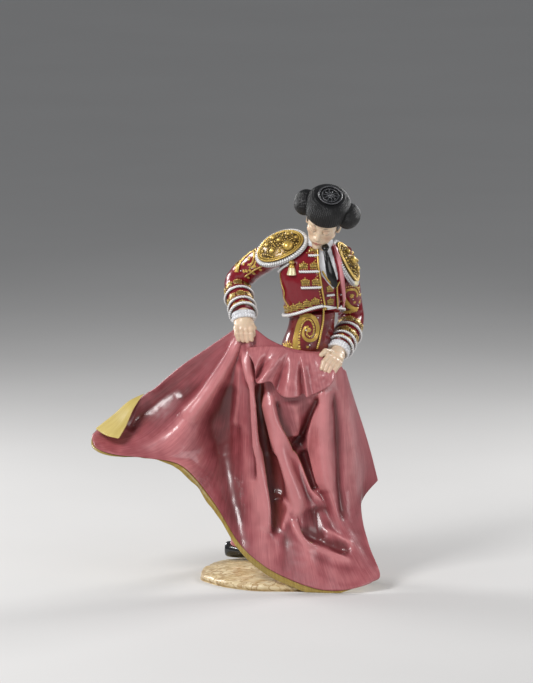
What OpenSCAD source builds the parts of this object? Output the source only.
// Porcelain figurine of a bullfighter swinging a wide cape, standing on an oval base.
// "right" and "left" are the figure's own right and left. +Y points behind the figure.

/* [Figure] */
// Height from the resting face to the top of the hat
figure_h = 439; // [300:1:600]
// Thickness of the cape
cape_t = 3.4; // [2.6:0.1:4.2]
// Wall of the jacket shell
jacket_t = 3.2; // [2.4:0.1:4]
// Radius of the white braids laid on the costume
braid_r = 1.3; // [1:0.1:1.8]
// Radius of the gold scrollwork laid on the costume
scroll_r = 1.7; // [1.2:0.1:2.2]

/* [Base] */
// Long axis of the oval base
base_len = 184; // [176:1:196]
// Short axis of the oval base
base_wid = 176; // [168:1:188]
// Height of the rim of the base
base_rim = 7; // [6:0.5:8]
// Height of the base under the feet
base_top = 10.5; // [9:0.5:11]
// Turn of the base's long axis away from the front
base_turn = -25; // [-35:1:-15]
// Diameter of the firing vents in the underside
vent_d = 5; // [3:0.5:7]

/* [Hidden] */

// Every size below is drawn for a figure of this height and scaled from it
drawn_h = 439;
UP = [0, 0, 1];
RIGHTWARD = [1, 0, 0];
cord_sides = 5;
small_fn = 8;

// Colours of the glazes
MAROON = "#7a1820";
GOLD = "#b8963c";
WHITE = "#e4e2e0";
PINK = "#b0606a";
YELLOW = "#c8b058";
SKIN = "#dcc0a4";
BLACK = "#141416";
CREAM = "#dcc8a0";

// ---- Torso and limb stations: [x, y, z, half width, half depth, turn] ----

HIPS = [
    [25, 1, 200, 27, 22, 58], [22, 2, 222, 31, 25, 58], [23, 1, 238, 34, 27, 56],
    [27, 0, 262, 32, 26, 52], [31, -1, 280, 28.5, 22.5, 46], [33, -1, 303, 27, 21, 42],
];
CHEST = [
    [34, -1, 298, 34, 26, 38], [34, -1, 307, 35.5, 26.6, 34], [34, -2, 318, 38, 27, 31],
    [34, -3, 336, 40, 27, 28], [35, -3, 350, 40, 25, 26], [36, -3, 360, 36, 21, 24],
    [38, -4, 368, 24, 16, 22], [39, -5, 374, 15, 13, 20],
];
RIGHT_ARM = [
    [4, -8, 364, 15, 15], [-10, -2, 360, 15.5, 15], [-24, 8, 351, 15, 14.5],
    [-38, 20, 339, 14.5, 14], [-50, 28, 325, 14, 14], [-49, 12, 314, 14, 14],
    [-46, -4, 305, 13.5, 13.5], [-43.5, -19, 297, 12.5, 12.5],
];
LEFT_ARM = [
    [62, 8, 360, 14, 14], [67, 16, 343, 14.5, 14.5], [71, 27, 320, 14, 14],
    [74, 37, 300, 13.5, 13.5], [76, 40, 284, 13.5, 13.5], [73, 24, 272, 13.5, 13.5],
    [68, 8, 264, 13, 13], [63, -7, 258, 12, 12],
];
ELBOW = 4;
RIGHT_LEG = [
    [12, -5, 226, 23, 23], [4, 2, 200, 23, 23], [-6, 13, 165, 20, 21],
    [-14, 22, 134, 15, 16], [-19, 27, 118, 14, 15], [-26, 36, 98, 14, 15],
    [-36, 46, 70, 11.5, 12], [-47, 56, 42, 8, 8.5], [-50, 59, 29, 8.5, 9],
];
LEFT_LEG = [
    [36, 8, 226, 23, 23], [44, 2, 200, 23, 23], [53, -7, 165, 20, 21],
    [57, -12, 134, 15, 16], [57, -11, 118, 14, 15], [56, -8, 98, 14, 15],
    [52, -3, 70, 11.5, 12], [47, 1, 42, 8, 8.5], [45, 2, 29, 8.5, 9],
];
KNEE = 4;
NECK = [[39, -5, 366, 11, 11], [41, -9, 378, 10, 10], [43, -13, 390, 10, 10]];

// Where the head sits, and how it bows and leans
HEAD_AT = [45, -20, 400];
HEAD_TURN = [32, 17, -8];

// Rows of the cape, each from the gathered top edge to the hem, going from its free
// corner at the figure's right round to the fold behind its left side
CAPE = [
    [[-51, -32, 282], [-81, -26, 260], [-113, -20, 237], [-144, -18, 210], [-175, -24, 187], [-205, -36, 169]],
    [[-48, -33, 280], [-78, -25, 252], [-109, -16, 223], [-139, -14, 197], [-168, -24, 175], [-208, -46, 165]],
    [[-46, -34, 279], [-74, -30, 245], [-102, -24, 211], [-130, -26, 182], [-160, -40, 161], [-204, -54, 154]],
    [[-45, -35, 278], [-69, -36, 242], [-95, -38, 202], [-119, -42, 171], [-148, -50, 152], [-184, -58, 147]],
    [[-44, -36, 277], [-64, -36, 237], [-84, -34, 195], [-102, -40, 162], [-122, -50, 145], [-146, -60, 143]],
    [[-43, -36, 276], [-58, -30, 232], [-73, -24, 189], [-84, -28, 154], [-96, -40, 137], [-109, -54, 133]],
    [[-42, -37, 275], [-52, -30, 230], [-59, -18, 181], [-65, -20, 141], [-70, -34, 112], [-76, -52, 94]],
    [[-41, -38, 274], [-44, -38, 231], [-47, -30, 181], [-48, -32, 134], [-48, -46, 87], [-48, -64, 50]],
    [[-39, -39, 277], [-35, -50, 231], [-31, -56, 185], [-28, -60, 139], [-23, -68, 82], [-21, -80, 28]],
    [[-35, -38, 280], [-25, -38, 224], [-19, -36, 177], [-12, -42, 127], [-1, -68, 64], [8, -89, 14]],
    [[-29, -38, 281], [-19, -46, 223], [-8, -52, 180], [4, -58, 129], [21, -76, 63], [34, -97, 6]],
    [[-15, -40, 271], [-4, -48, 222], [4, -44, 188], [14, -38, 143], [30, -62, 72], [52, -100, 4]],
    [[3, -42, 263], [15, -50, 222], [19, -38, 187], [23, -28, 145], [40, -54, 79], [68, -101, 5]],
    [[25, -42, 258], [34, -52, 222], [33, -42, 185], [34, -34, 139], [51, -54, 73], [84, -98, 8]],
    [[45, -40, 256], [48, -52, 222], [45, -54, 184], [45, -52, 137], [63, -58, 72], [97, -91, 12]],
    [[59, -36, 248], [61, -48, 215], [59, -46, 172], [62, -46, 123], [75, -52, 67], [106, -80, 19]],
    [[67, -30, 236], [70, -38, 204], [74, -34, 159], [77, -34, 117], [82, -38, 79], [94, -58, 48]],
    [[69, -26, 235], [76, -22, 202], [82, -16, 165], [87, -12, 133], [88, -14, 106], [86, -24, 85]],
    [[69, -20, 234], [79, -8, 199], [89, 0, 167], [97, 6, 139], [102, 8, 119], [105, 6, 107]],
];
CAPE_STEPS = 3;
// Last rows of the cape's left and middle sections
CAPE_SEAMS = [7, 14];

// ---- Points and curves ----

function unit(v) = v / norm(v);
function mix(a, b, f) = a + (b - a) * f;
function place(r) = [r[0], r[1], r[2]];
function slice(p, a, b) = [for (i = [a : b]) p[i]];
function clamped(i, n) = max(0, min(n - 1, i));

// Smooth curve through a list, read at position x
function spline(a, b, c, d, f) = 0.5 * (2 * b + (c - a) * f
    + (2 * a - 5 * b + 4 * c - d) * f * f + (3 * b - a - 3 * c + d) * f * f * f);
function along_curve(p, x) = let (n = len(p), i = min(floor(x), n - 2))
    spline(p[clamped(i - 1, n)], p[i], p[i + 1], p[clamped(i + 2, n)], x - i);
function smooth(p, steps) = [for (k = [0 : (len(p) - 1) * steps]) along_curve(p, k / steps)];

// Direction of a path at its point i, and a vector squared to it
function heading(p, i) = unit(p[min(i + 1, len(p) - 1)] - p[max(i - 1, 0)]);
function square_to(v, t) = unit(v - (v * t) * t);

// Oval of n points about c, in the plane that t is normal to
function oval(c, t, side, r, n) = let (s = square_to(side, t), u = cross(t, s))
    [for (k = [0 : n - 1]) c + r[0] * cos(360 * k / n) * s + r[1] * sin(360 * k / n) * u];
function limb(rows, side, n = 16, grow = 0) = let (p = [for (r = rows) place(r)])
    [for (i = [0 : len(rows) - 1])
        oval(p[i], heading(p, i), side, [rows[i][3] + grow, rows[i][4] + grow], n)];
function trunk(rows, grow = 0) = [for (r = rows)
    oval(place(r), UP, [cos(r[5]), sin(r[5]), 0], [r[3] + grow, r[4] + grow], 24)];
function cord(p, r, side = UP) = limb([for (q = p) [each q, r, r]], side, cord_sides);

// Point on the trunk at height z and angle phi, which is -90 in front and 0 at its left
function row_at(rows, z) = let (
    i = max([for (k = [0 : len(rows) - 2]) rows[k][2] <= z ? k : 0]),
    f = (z - rows[i][2]) / (rows[i + 1][2] - rows[i][2])) mix(rows[i], rows[i + 1], f);
function on_trunk(rows, z, phi, out = 0) = let (r = row_at(rows, z), c = cos(r[5]), s = sin(r[5]),
    a = (r[3] + out) * cos(phi), b = (r[4] + out) * sin(phi)) [r[0] + a * c - b * s, r[1] + a * s + b * c, z];

// ---- Solids ----

function strip(n, i, j) = [for (k = [0 : n - 1]) let (l = (k + 1) % n,
    q = [i * n + k, i * n + l, j * n + l, j * n + k])
    each [[q[0], q[2], q[1]], [q[0], q[3], q[2]]]];

// Closed solid through a stack of rings with the same number of points
module skin(rings) {
    n = len(rings[0]);
    m = len(rings);
    polyhedron(points = [for (r = rings) each r], faces = concat(
        [[for (k = [0 : n - 1]) k]],
        [for (i = [0 : m - 2]) each strip(n, i, i + 1)],
        [[for (k = [n - 1 : -1 : 0]) (m - 1) * n + k]]));
}

// Closed hoop through rings that run round its section and back to the first
module hoop(rings) {
    n = len(rings[0]);
    m = len(rings);
    polyhedron(points = [for (r = rings) each r],
        faces = [for (i = [0 : m - 1]) each strip(n, i, (i + 1) % m)]);
}

// Closed sheet between two matching grids of points
function two(a, b, c, d) = [[a, c, b], [a, d, c]];
module sheet(front, back) {
    m = len(front);
    n = len(front[0]);
    far = m * n;
    top = n - 1;
    last = far - n;
    polyhedron(
        points = concat([for (r = front) each r], [for (r = back) each r]),
        faces = concat(
            [for (i = [0 : m - 2], j = [0 : n - 2]) let (q = i * n + j) each two(q, q + 1, q + n + 1, q + n)],
            [for (i = [0 : m - 2], j = [0 : n - 2]) let (q = far + i * n + j)
                each [[q, q + 1, q + n + 1], [q, q + n + 1, q + n]]],
            [for (i = [0 : m - 2]) let (q = i * n) each two(far + q, q, q + n, far + q + n)],
            [for (i = [0 : m - 2]) let (q = i * n + top) each two(q, far + q, far + q + n, q + n)],
            [for (j = [0 : n - 2]) each two(far + j, far + j + 1, j + 1, j)],
            [for (j = [0 : n - 2]) let (q = last + j) each two(q, q + 1, far + q + 1, far + q)]));
}

// First child cut to sit against all the others
module fitted() {
    resize([0, 0, 0]) difference() {
        children(0);
        children([1 : $children - 1]);
    }
}

// Children seated at a point with z along the surface's outward normal
module seated(at, across, up) {
    n = unit(cross(across, up));
    v = cross(n, across);
    multmatrix([
        [across.x, v.x, n.x, at.x], [across.y, v.y, n.y, at.y],
        [across.z, v.z, n.z, at.z], [0, 0, 0, 1],
    ]) children();
}
module on_cloth(rows, z, phi) {
    at = on_trunk(rows, z, phi);
    seated(at, unit(on_trunk(rows, z, phi + 2) - on_trunk(rows, z, phi - 2)),
        unit(on_trunk(rows, z + 1, phi) - on_trunk(rows, z - 1, phi))) children();
}
module in_head() translate(HEAD_AT) rotate(HEAD_TURN) children();
module drawn() scale(figure_h / drawn_h) children();

// ---- Base ----

module base() {
    // [height, inset from the widest outline]
    steps = [[0, 2.5], [1.2, 0.8], [3.5, 0], [base_rim - 1.5, 0.6], [base_rim, 3],
        [mix(base_rim, base_top, 0.5), 16], [mix(base_rim, base_top, 0.85), 34], [base_top, 56]];
    color(CREAM) drawn() difference() {
        rotate([0, 0, base_turn]) skin([for (s = steps)
            oval([0, 0, s[0]], UP, RIGHTWARD, [base_len / 2 - s[1], base_wid / 2 - s[1]], 44)]);
        for (x = [-32, 32]) translate([x, 0, -1]) cylinder(h = 6, d = vent_d, $fn = 32);
    }
}

// ---- Feet and legs ----

// Slipper from heel to toe, turned about the ankle
module shoe(at, turn) {
    rows = [[-14, 0, 9, 3, 5], [-12, 0, 9, 7, 8.5], [-4, 0, 8.5, 9, 9], [6, 0, 7.5, 8.5, 7.5],
        [18, 0, 6, 9.5, 6], [30, 0, 5, 11, 5], [40, 0, 4.2, 9.5, 4.2], [47, 0, 3.6, 4.5, 3]];
    translate([at.x, at.y, base_top]) rotate([0, 0, turn])
        skin([for (r = limb(rows, [0, 1, 0], 16))
            [for (p = r) [p.x, p.y, max(p.z, 0)]]]);
}
module bow(at, turn) {
    translate([at.x, at.y, base_top]) rotate([0, 0, turn]) translate([17, 0, 11.6]) {
        for (side = [-1, 1]) hull() {
            sphere(1.6, $fn = small_fn);
            translate([0, side * 6, 0.6]) sphere(2.6, $fn = small_fn);
        }
        sphere(2.4, $fn = small_fn);
    }
}
RIGHT_FOOT = [[-50, 60], -18];
LEFT_FOOT = [[45, 2], -50];
module right_shoe_form() shoe(RIGHT_FOOT[0], RIGHT_FOOT[1]);
module left_shoe_form() shoe(LEFT_FOOT[0], LEFT_FOOT[1]);
module right_shoe() color(BLACK) drawn() right_shoe_form();
module left_shoe() color(BLACK) drawn() left_shoe_form();
module shoe_bows() color(BLACK) drawn() fitted() {
    union() {
        bow(RIGHT_FOOT[0], RIGHT_FOOT[1]);
        bow(LEFT_FOOT[0], LEFT_FOOT[1]);
    }
    right_shoe_form();
    left_shoe_form();
}

module stocking(leg) skin(limb(smooth(slice(leg, KNEE, len(leg) - 1), 2), RIGHTWARD));
module right_stocking() color(PINK) drawn() fitted() {
    stocking(RIGHT_LEG);
    right_shoe_form();
}
module left_stocking() color(PINK) drawn() fitted() {
    stocking(LEFT_LEG);
    left_shoe_form();
}

module breeches_leg(leg) fitted() {
    skin(limb(smooth(slice(leg, 0, KNEE), 2), RIGHTWARD, 20, 0.8));
    skin(trunk(HIPS));
}
module right_breeches_leg() color(MAROON) drawn() breeches_leg(RIGHT_LEG);
module left_breeches_leg() color(MAROON) drawn() fitted() {
    breeches_leg(LEFT_LEG);
    skin(limb(smooth(slice(RIGHT_LEG, 0, KNEE), 2), RIGHTWARD, 20, 0.8));
}

// Corded tie and tassels below each knee
module knee_tassel(leg, side) {
    k = leg[KNEE];
    translate([k.x + side * 15, k.y + 2, k.z - 1]) rotate_extrude($fn = 16)
        polygon([[0, 3], [2, 2.4], [2.4, 0], [1.6, -1], [3, -9], [0, -9.5]]);
}
module knee_tassels() color(GOLD) drawn() fitted() {
    union() {
        knee_tassel(RIGHT_LEG, -1);
        knee_tassel(LEFT_LEG, 1);
    }
    skin(limb(smooth(RIGHT_LEG, 2), RIGHTWARD, 20, 0.8));
    skin(limb(smooth(LEFT_LEG, 2), RIGHTWARD, 20, 0.8));
}

// ---- Waist ----

module breeches_waist() color(MAROON) drawn() fitted() {
    skin(trunk(HIPS));
    skin(trunk(CHEST, -jacket_t));
}

// Spiral on the trunk's surface from an outer tail in to its eye
function spiral_on(rows, z, phi, size, turns, hand, points, out) = [for (k = [0 : points])
    let (f = k / points, r = size * (1 - 0.86 * f), a = -90 + hand * 360 * turns * f)
    on_trunk(rows, z + r * sin(a), phi + 2.4 * r * cos(a), out)];
function tapered(p, r, ends) = [for (i = [0 : len(p) - 1])
    let (f = i / (len(p) - 1)) [each p[i], r * (1 - ends * f), r * (1 - ends * f)]];

module breeches_scroll() color(GOLD) drawn()
    skin(limb(tapered(spiral_on(HIPS, 278, -138, 16, 1.6, 1, 26, 2), 2.4, 0.4), UP, 7));
module hip_scrolls() color(GOLD) drawn() for (phi = [-178, 10])
    skin(limb(tapered(spiral_on(HIPS, 244, phi, 8, 1.3, -1, 14, 1.6), 1.9, 0.4), UP, 5));
module breeches_piping() color(GOLD) drawn() fitted() {
    for (phi = [-84, -76]) skin(cord([for (z = [228 : 6 : 294])
        on_trunk(HIPS, z, phi + (294 - z) * 0.1)], 1));
    skin(trunk(HIPS));
}

// ---- Chest ----

// Front opening of the jacket, and the V of shirt inside it, as outlines seen from the front
OPENING = [[33, 380], [36, 362], [40, 342], [46, 300], [45, 280], [72, 280], [69, 300], [63, 340], [58, 380]];
SHIRT_V = [[30, 380], [36, 350], [41, 336], [57, 324], [64, 334], [60, 380]];

module slab(outline, y) translate([0, y, 0]) rotate([90, 0, 0]) linear_extrude(120) polygon(outline);
module chest_core() skin(trunk(CHEST, -jacket_t));
module chest_skin() skin(trunk(CHEST));

module waistcoat() color(MAROON) drawn() fitted() {
    chest_core();
    slab(SHIRT_V, -4);
}
module shirt_front() color(WHITE) drawn() resize([0, 0, 0]) intersection() {
    chest_core();
    slab(SHIRT_V, -4);
}
module waistcoat_braids() color(WHITE) drawn() fitted() {
    for (z = [303, 317]) skin(cord([for (phi = [-92 : 8 : -40])
        on_trunk(CHEST, z, phi, -jacket_t)], braid_r));
    chest_core();
}

module shirt_collar() color(WHITE) drawn() fitted() {
    skin(limb([[38.6, -4.5, 373, 14.5, 13.5], [41, -8, 382, 12.6, 12]], RIGHTWARD, 24));
    skin(limb(NECK, RIGHTWARD, 20));
    chest_skin();
}
module necktie() color(BLACK) drawn() fitted() {
    union() {
        blade = [for (z = [366 : -5 : 326]) [each on_trunk(CHEST, z, -92 + (366 - z) * 0.45, -jacket_t),
            z == 366 ? 2.4 : 3 + (366 - z) * 0.03, 1.6]];
        skin(limb(blade, RIGHTWARD, 10));
        translate([46, -19, 370]) sphere(4, $fn = 10);
    }
    chest_core();
    skin(limb([[38.6, -4.5, 373, 14.5, 13.5], [41, -8, 382, 12.6, 12]], RIGHTWARD, 24));
}

// ---- Jacket ----

module jacket_body() color(MAROON) drawn() fitted() {
    chest_skin();
    skin(trunk([[34, -1, 280, 34, 26, 38], each slice(CHEST, 0, len(CHEST) - 2),
        [39, -5, 380, 15, 13, 20]], -jacket_t));
    slab(OPENING, -4);
}

// Crown-shaped applique, w wide, standing proud of the cloth
module crown(w) translate([0, 0, -1.5]) linear_extrude(2.8) polygon([
    [-0.42 * w, -0.45 * w], [0.42 * w, -0.45 * w], [0.5 * w, 0.3 * w], [0.24 * w, 0.16 * w],
    [0, 0.5 * w], [-0.24 * w, 0.16 * w], [-0.5 * w, 0.3 * w]]);

// [height, first angle, number] of each row of crowns
CROWN_ROWS = [[366, -104, 1], [352, -120, 2], [334, -122, 2], [313, -160, 4]];
crown_pitch = 17;
module jacket_crowns() color(GOLD) drawn() fitted() {
    for (row = CROWN_ROWS, k = [0 : row[2] - 1])
        on_cloth(CHEST, row[0], row[1] + k * crown_pitch) crown(8.5);
    chest_skin();
    slab(OPENING, -4);
}

module jacket_braids() color(WHITE) drawn() fitted() {
    union() {
        for (row = CROWN_ROWS) let (half = crown_pitch / 2)
            skin(cord([for (k = [0 : row[2] * 2]) on_trunk(CHEST, row[0] - 5.6,
                row[1] - half + k * crown_pitch / 2)], braid_r));
        skin(cord([for (phi = [-268 : 15 : -103]) on_trunk(CHEST, 300, phi)], 1.5));
        skin(cord([for (phi = [-30 : 12 : 90]) on_trunk(CHEST, 300, phi)], 1.5));
    }
    chest_skin();
}

module jacket_edge_piping() color(GOLD) drawn() fitted() {
    union() {
        skin(cord([for (k = [0 : 8]) on_trunk(CHEST, 362 - 8.6 * k, -102 + 0.8 * abs(k - 4))], 1.1));
        skin(cord([for (k = [0 : 9]) on_trunk(CHEST, 340 - 5 * k, -176 + 3 * sin(90 * k))], 1.4));
    }
    chest_skin();
}

// Turned-back silk facing of the left front
module jacket_lapel() color(PINK) drawn() fitted() {
    skin(limb([for (k = [0 : 8]) [each on_trunk(CHEST, 364 - 8.6 * k, -58 + 2.2 * k, 0.4),
        3 - 0.1 * k, 1.6]], [1, -0.6, 0], 8));
    chest_skin();
}

module jacket_back_scrolls() color(GOLD) drawn() for (hand = [-1, 1]) skin(limb(tapered(
    spiral_on(CHEST, 322, 90 + hand * 40, 12, 1.4, hand, 18, scroll_r), scroll_r, 0.4), UP, 5));

// ---- Sleeves ----

module whole_sleeve(arm, side) skin(limb(smooth(arm, 2), side, 18));
function sleeve_rings(arm, side) = limb(smooth(arm, 2), side, 18);
module upper_part(arm, side) skin(slice(sleeve_rings(arm, side), 0, ELBOW * 2));
module lower_part(arm, side) skin(slice(sleeve_rings(arm, side), ELBOW * 2, (len(arm) - 1) * 2));

module right_upper_sleeve() color(MAROON) drawn() fitted() {
    upper_part(RIGHT_ARM, UP);
    chest_skin();
}
module left_upper_sleeve() color(MAROON) drawn() fitted() {
    upper_part(LEFT_ARM, RIGHTWARD);
    chest_skin();
}
module right_lower_sleeve() color(MAROON) drawn() lower_part(RIGHT_ARM, UP);
module left_lower_sleeve() color(MAROON) drawn() lower_part(LEFT_ARM, RIGHTWARD);

// Collar of braid round a sleeve, at position x along its stations
band_proud = 1.4;
band_w = 0.22;
function round_arm(arm, side, x, out) = let (
    here = along_curve(arm, x),
    ahead = along_curve(arm, x + 0.1),
    t = unit(place(ahead) - place(here)))
    oval(place(here), t, side, [here[3] + out, here[4] + out], 18);
module arm_band(arm, side, x) hoop([round_arm(arm, side, x + band_w, 0),
    round_arm(arm, side, x + band_w * 0.8, band_proud), round_arm(arm, side, x + band_w * 0.2, band_proud),
    round_arm(arm, side, x, 0)]);
module sleeve_bands(arm, side) for (x = [5.1, 5.9, 6.7]) arm_band(arm, side, x);
module right_sleeve_bands() color(WHITE) drawn() sleeve_bands(RIGHT_ARM, UP);
module left_sleeve_bands() color(WHITE) drawn() sleeve_bands(LEFT_ARM, RIGHTWARD);

// Loop of scrollwork wound along the outside of an upper sleeve
module sleeve_scroll(arm, side, facing)
    skin(limb([for (k = [0 : 20]) let (f = k / 20, r = 1 - 0.8 * f, a = 470 * f,
        here = along_curve(arm, 2.5 + r * sin(a)), t = unit(place(along_curve(arm, 2.6)) - place(along_curve(arm, 2.4))),
        s = square_to(side, t), u = cross(t, s), w = facing + 38 * r * cos(a))
        [each place(here) + (here[3] + scroll_r) * cos(w) * s + (here[4] + scroll_r) * sin(w) * u,
            scroll_r, scroll_r]], side, 5));
module right_sleeve_scroll() color(GOLD) drawn() sleeve_scroll(RIGHT_ARM, UP, 55);
module left_sleeve_scroll() color(GOLD) drawn() sleeve_scroll(LEFT_ARM, RIGHTWARD, 300);

// ---- Cuffs and hands ----

// Two stacked shirt cuffs between the sleeve and the hand
function cuff_rows(wrist, aim, w) = [for (s = [[0, 0.6], [2, 2.2], [4, 1], [5, 2], [8, 1.2], [9.5, 0]])
    [each wrist + aim * s[0], w + s[1], w + s[1]]];
RIGHT_WRIST = [-43.5, -19, 297];
RIGHT_AIM = unit([0.1, -0.5, -0.86]);
LEFT_WRIST = [63, -7, 258];
LEFT_AIM = unit([-0.34, -0.75, -0.56]);
module right_cuff_form() skin(limb(cuff_rows(RIGHT_WRIST, RIGHT_AIM, 11), RIGHTWARD, 20));
module left_cuff_form() skin(limb(cuff_rows(LEFT_WRIST, LEFT_AIM, 10.5), RIGHTWARD, 20));
module right_cuff() color(WHITE) drawn() fitted() {
    right_cuff_form();
    lower_part(RIGHT_ARM, UP);
}
module left_cuff() color(WHITE) drawn() fitted() {
    left_cuff_form();
    lower_part(LEFT_ARM, RIGHTWARD);
}

// Closed hand: wrist, palm and knuckles along a path, then four bent fingers and a thumb
module finger(points, r) for (i = [0 : len(points) - 2]) hull() {
    translate(points[i]) sphere(r, $fn = small_fn);
    translate(points[i + 1]) sphere(r * 0.92, $fn = small_fn);
}
module right_hand() color(SKIN) drawn() fitted() {
    union() {
        skin(limb(smooth([[-43, -23, 292, 8.5, 7.5], [-43, -27, 287, 10.5, 8], [-42.5, -32, 281, 11.5, 7.5],
            [-42, -36, 276, 10, 6]], 2), RIGHTWARD, 12));
        for (k = [0 : 3]) finger([[-50 + 5 * k, -36, 278], [-49.5 + 5 * k, -43, 274],
            [-48.5 + 5 * k, -43, 269 + 0.6 * k]], 3);
        finger([[-34, -30, 284], [-31, -37, 277], [-32, -43, 271]], 3.2);
    }
    right_cuff_form();
    cape_panel(0, len(CAPE) - 1);
}
module left_hand_form() union() {
    skin(limb(smooth([[60, -16, 254, 7.5, 6.5], [57, -23, 251, 10, 7], [54, -32, 248, 11, 7],
        [51, -39, 245, 9, 6]], 2), [0.8, 0, 0.6], 12));
    for (k = [0 : 3]) finger([[44.5 + 4.2 * k, -43, 250 - 3 * k], [42.5 + 4.2 * k, -52, 245 - 2.6 * k],
        [43.5 + 4.2 * k, -53.5, 239 - 2.2 * k]], 2.9);
    finger([[50, -30, 253], [45, -39, 255], [41.5, -46, 253]], 3.1);
}
module left_hand() color(SKIN) drawn() fitted() {
    left_hand_form();
    left_cuff_form();
    cape_panel(0, len(CAPE) - 1);
}

// ---- Neck, head and hair ----

module neck() color(SKIN) drawn() fitted() {
    skin(limb(NECK, RIGHTWARD, 20));
    chest_skin();
    head_form();
}
// Plain rounded head, from chin to crown
module head_form() in_head() skin([for (s = [[-28, -11, 6, 6], [-24, -9, 11, 11], [-16, -5, 15, 17],
    [-6, -2, 17, 21], [4, 0, 18, 22.5], [14, 1, 18, 22.5]])
    oval([0, s[1], s[0]], UP, RIGHTWARD, [s[2], s[3]], 24)]);
module head() color(SKIN) drawn() head_form();
module hair() color(BLACK) drawn() fitted() {
    in_head() intersection() {
        skin([for (s = [[-20, 8, 12, 13], [-10, 3, 17.5, 20], [2, 1.5, 19.4, 23], [12, 1.5, 19.6, 23.6]])
            oval([0, s[1], s[0]], UP, RIGHTWARD, [s[2], s[3]], 24)]);
        translate([-30, -2, -30]) cube([60, 40, 60]);
    }
    head_form();
    skin(limb(NECK, RIGHTWARD, 20));
}
module hair_bun() color(BLACK) drawn() fitted() {
    in_head() translate([0, 24, -9]) rotate([80, 0, 0]) rotate_extrude($fn = 24)
        polygon([[0, -6], [4, -5.4], [6.4, -2.5], [6.8, 1.5], [5, 4], [0, 4.8]]);
    in_head() skin([for (s = [[-20, 8, 12, 13], [-10, 3, 17.5, 20], [2, 1.5, 19.4, 23], [12, 1.5, 19.6, 23.6]])
        oval([0, s[1], s[0]], UP, RIGHTWARD, [s[2], s[3]], 24)]);
}

// ---- Hat ----

module hat_form() in_head() skin([for (s = [[12, 20.5, 25.5], [14, 23.5, 27.5], [22, 24.5, 27.5],
    [30, 23, 25], [34.5, 19, 21], [36, 15, 17]]) oval([0, 1, s[0]], UP, RIGHTWARD, [s[1], s[2]], 28)]);
module hat_crown() color(BLACK) drawn() fitted() {
    hat_form();
    head_form();
}
// Rounded side bulge of the hat
module hat_lobe(side) color(BLACK) drawn() fitted() {
    in_head() translate([side * 25.6, 2, 15.4]) rotate([0, side * 12, 0])
        skin([for (a = [-72 : 24 : 72]) oval([side * 1.5 * cos(a), 0, 13 * sin(a)], UP, RIGHTWARD,
            [12 * cos(a), 14.5 * cos(a)], 18)]);
    hat_form();
    head_form();
}
module hat_right_lobe() hat_lobe(-1);
module hat_left_lobe() hat_lobe(1);
module hat_top_button() color(BLACK) drawn() in_head() translate([0, 1, 36]) rotate_extrude($fn = 40)
    polygon([[0, 0], [10.5, 0], [11.5, 0.8], [10.5, 1.6], [7, 2], [5, 3], [0, 3.4]]);

// ---- Epaulettes and tassels ----

// [centre, turn, half length, half width]
RIGHT_PAD = [[-3, -14, 372], [38, -24, -4], 27, 20];
LEFT_PAD = [[72, 5, 352], [20, 62, 4], 24, 17];
module pad_frame(pad) translate(pad[0]) rotate(pad[1]) children();
pad_h = 4;
module pad_form(pad) pad_frame(pad) skin([for (s = [[-9, 0], [0, 0], [pad_h * 0.6, 1.5], [pad_h, 5]])
    oval([0, 0, s[0]], UP, RIGHTWARD, [pad[2] - s[1], pad[3] - s[1]], 28)]);
module under_pads() {
    chest_skin();
    whole_sleeve(RIGHT_ARM, UP);
    whole_sleeve(LEFT_ARM, RIGHTWARD);
}
module epaulette(pad) fitted() {
    pad_form(pad);
    under_pads();
}
// Fringe round the pad's edge, clear of the pad itself
module epaulette_fringe(pad) pad_frame(pad) hoop([for (s = [[0, 0], [2.6, 0], [3.2, 2.4], [1.6, 4.4], [0, 3.6]])
    oval([0, 0, s[0]], UP, RIGHTWARD, [pad[2] + s[1], pad[3] + s[1]], 28)]);
// Rounded boss with a flat foot
module boss(at, r) translate([at.x, at.y, pad_h]) rotate_extrude($fn = 24)
    intersection() {
        translate([0, -0.4 * r]) circle(r);
        square([r, r]);
    }
module epaulette_domes(pad) pad_frame(pad) {
    boss([8, -4], 6.4);
    for (s = [[-11, 2], [-4, 7], [4.5, 8]]) boss(s, 3.8);
    for (k = [2 : 6]) boss([0.62 * pad[2] * cos(36 * k + 72), 0.62 * pad[3] * sin(36 * k + 72)], 2);
}
module tassel(at) translate(at) rotate_extrude($fn = 24)
    polygon([[0, 8], [1.8, 7.4], [2.6, 5], [1.6, 3.2], [3.2, 2.6], [4.4, -4], [5.2, -8], [3.6, -9.4], [0, -9.8]]);
RIGHT_TASSEL_AT = [9, -31, 347];
LEFT_TASSEL_AT = [78, 2, 334];

module right_epaulette() color(GOLD) drawn() epaulette(RIGHT_PAD);
module left_epaulette() color(GOLD) drawn() epaulette(LEFT_PAD);
module right_epaulette_fringe() color(WHITE) drawn() epaulette_fringe(RIGHT_PAD);
module left_epaulette_fringe() color(WHITE) drawn() epaulette_fringe(LEFT_PAD);
module right_epaulette_domes() color(GOLD) drawn() epaulette_domes(RIGHT_PAD);
module left_epaulette_domes() color(GOLD) drawn() epaulette_domes(LEFT_PAD);
module tassel_fitted(at) fitted() {
    tassel(at);
    under_pads();
}
module right_tassel() color(GOLD) drawn() tassel_fitted(RIGHT_TASSEL_AT);
module left_tassel() color(GOLD) drawn() tassel_fitted(LEFT_TASSEL_AT);

// ---- Cape ----

// Front surface at row u and position v along it
function cape_front(u, v) = along_curve([for (row = CAPE) along_curve(row, v)], u);
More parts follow.
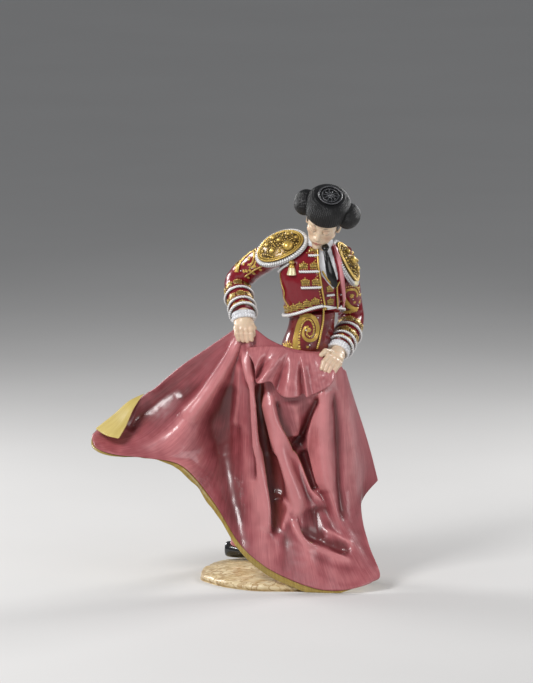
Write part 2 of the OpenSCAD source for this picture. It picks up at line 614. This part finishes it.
// The back lies behind the front, and turns inward round the fold at the left side
function cape_inward(u) = let (a = 75 * pow(max(0, u - 14.5) / 3.5, 1)) [-sin(a), cos(a), 0];
function cape_normal(u, v) = let (e = 0.05,
    du = cape_front(min(u + e, len(CAPE) - 1), v) - cape_front(max(u - e, 0), v),
    dv = cape_front(u, min(v + e, 5)) - cape_front(u, max(v - e, 0))) unit(cross(dv, du));
function cape_depth(u, v) = cape_t / max(0.6, abs(cape_normal(u, v) * cape_inward(u)));
function cape_back(u, v) = cape_front(u, v) + cape_inward(u) * cape_depth(u, v);
module cape_panel(a, b) {
    us = [for (i = [0 : (b - a) * CAPE_STEPS]) a + i / CAPE_STEPS];
    vs = [for (j = [0 : 5 * CAPE_STEPS]) j / CAPE_STEPS];
    sheet([for (u = us) [for (v = vs) cape_front(u, v)]], [for (u = us) [for (v = vs) cape_back(u, v)]]);
}
module cape_left_sweep() color(PINK) drawn() cape_panel(0, CAPE_SEAMS[0]);
module cape_centre() color(PINK) drawn() cape_panel(CAPE_SEAMS[0], CAPE_SEAMS[1]);
module cape_right_fold() color(PINK) drawn() cape_panel(CAPE_SEAMS[1], len(CAPE) - 1);

// Fan-pleated collar hanging between the hands: [top point, bottom point] across its width
COLLAR = [
    [[-36, -42, 262], [-28, -54, 236]], [[-24, -44, 260], [-24, -60, 222]],
    [[-10, -46, 258], [-8, -64, 218]], [[4, -46, 256], [12, -66, 206]],
    [[17, -46, 255], [28, -66, 204]], [[28, -45, 254], [37, -62, 208]],
    [[36, -44, 252], [43, -58, 220]],
];
pleat = 2.6;
function collar_front(u, v) = let (top = along_curve([for (c = COLLAR) c[0]], u),
    low = along_curve([for (c = COLLAR) c[1]], u))
    mix(top, low, v) + [0, pleat * v * cos(360 * u), 0];
module cape_collar() color(PINK) drawn() fitted() {
    us = [for (i = [0 : (len(COLLAR) - 1) * 6]) i / 6];
    vs = [for (j = [0 : 5]) j / 5];
    sheet([for (u = us) [for (v = vs) collar_front(u, v)]],
        [for (u = us) [for (v = vs) collar_front(u, v) + [0, cape_t - 0.6, 0]]]);
    cape_panel(CAPE_SEAMS[0] - 2, len(CAPE) - 1);
    left_hand_form();
}

// Corner turned forward so that its lining shows
FLAP = [
    [[-152, -27, 214], [-169, -33, 201], [-186, -41, 187], [-203, -49, 174]],
    [[-154, -29, 211], [-167, -37, 196], [-179, -46, 180], [-193, -54, 168]],
    [[-156, -31, 208], [-165, -39, 193], [-172, -47, 178], [-180, -56, 165]],
];
module cape_corner_flap() color(YELLOW) drawn() fitted() {
    us = [for (i = [0 : 4]) i / 2];
    vs = [for (j = [0 : 6]) j / 2];
    front = [for (u = us) [for (v = vs) along_curve([for (row = FLAP) along_curve(row, v)], u)]];
    sheet(front, [for (row = front) [for (p = row) p + [0, cape_t, 0]]]);
    cape_panel(0, CAPE_SEAMS[0]);
}

base();
right_shoe();
left_shoe();
shoe_bows();
right_stocking();
left_stocking();
right_breeches_leg();
left_breeches_leg();
knee_tassels();
breeches_waist();
breeches_scroll();
hip_scrolls();
breeches_piping();
waistcoat();
waistcoat_braids();
shirt_front();
shirt_collar();
necktie();
jacket_body();
jacket_crowns();
jacket_braids();
jacket_edge_piping();
jacket_lapel();
jacket_back_scrolls();
right_upper_sleeve();
left_upper_sleeve();
right_lower_sleeve();
left_lower_sleeve();
right_sleeve_scroll();
left_sleeve_scroll();
right_sleeve_bands();
left_sleeve_bands();
right_cuff();
left_cuff();
right_hand();
left_hand();
neck();
head();
hair();
hair_bun();
hat_crown();
hat_right_lobe();
hat_left_lobe();
hat_top_button();
right_epaulette();
left_epaulette();
right_epaulette_fringe();
left_epaulette_fringe();
right_epaulette_domes();
left_epaulette_domes();
right_tassel();
left_tassel();
cape_left_sweep();
cape_centre();
cape_right_fold();
cape_collar();
cape_corner_flap();
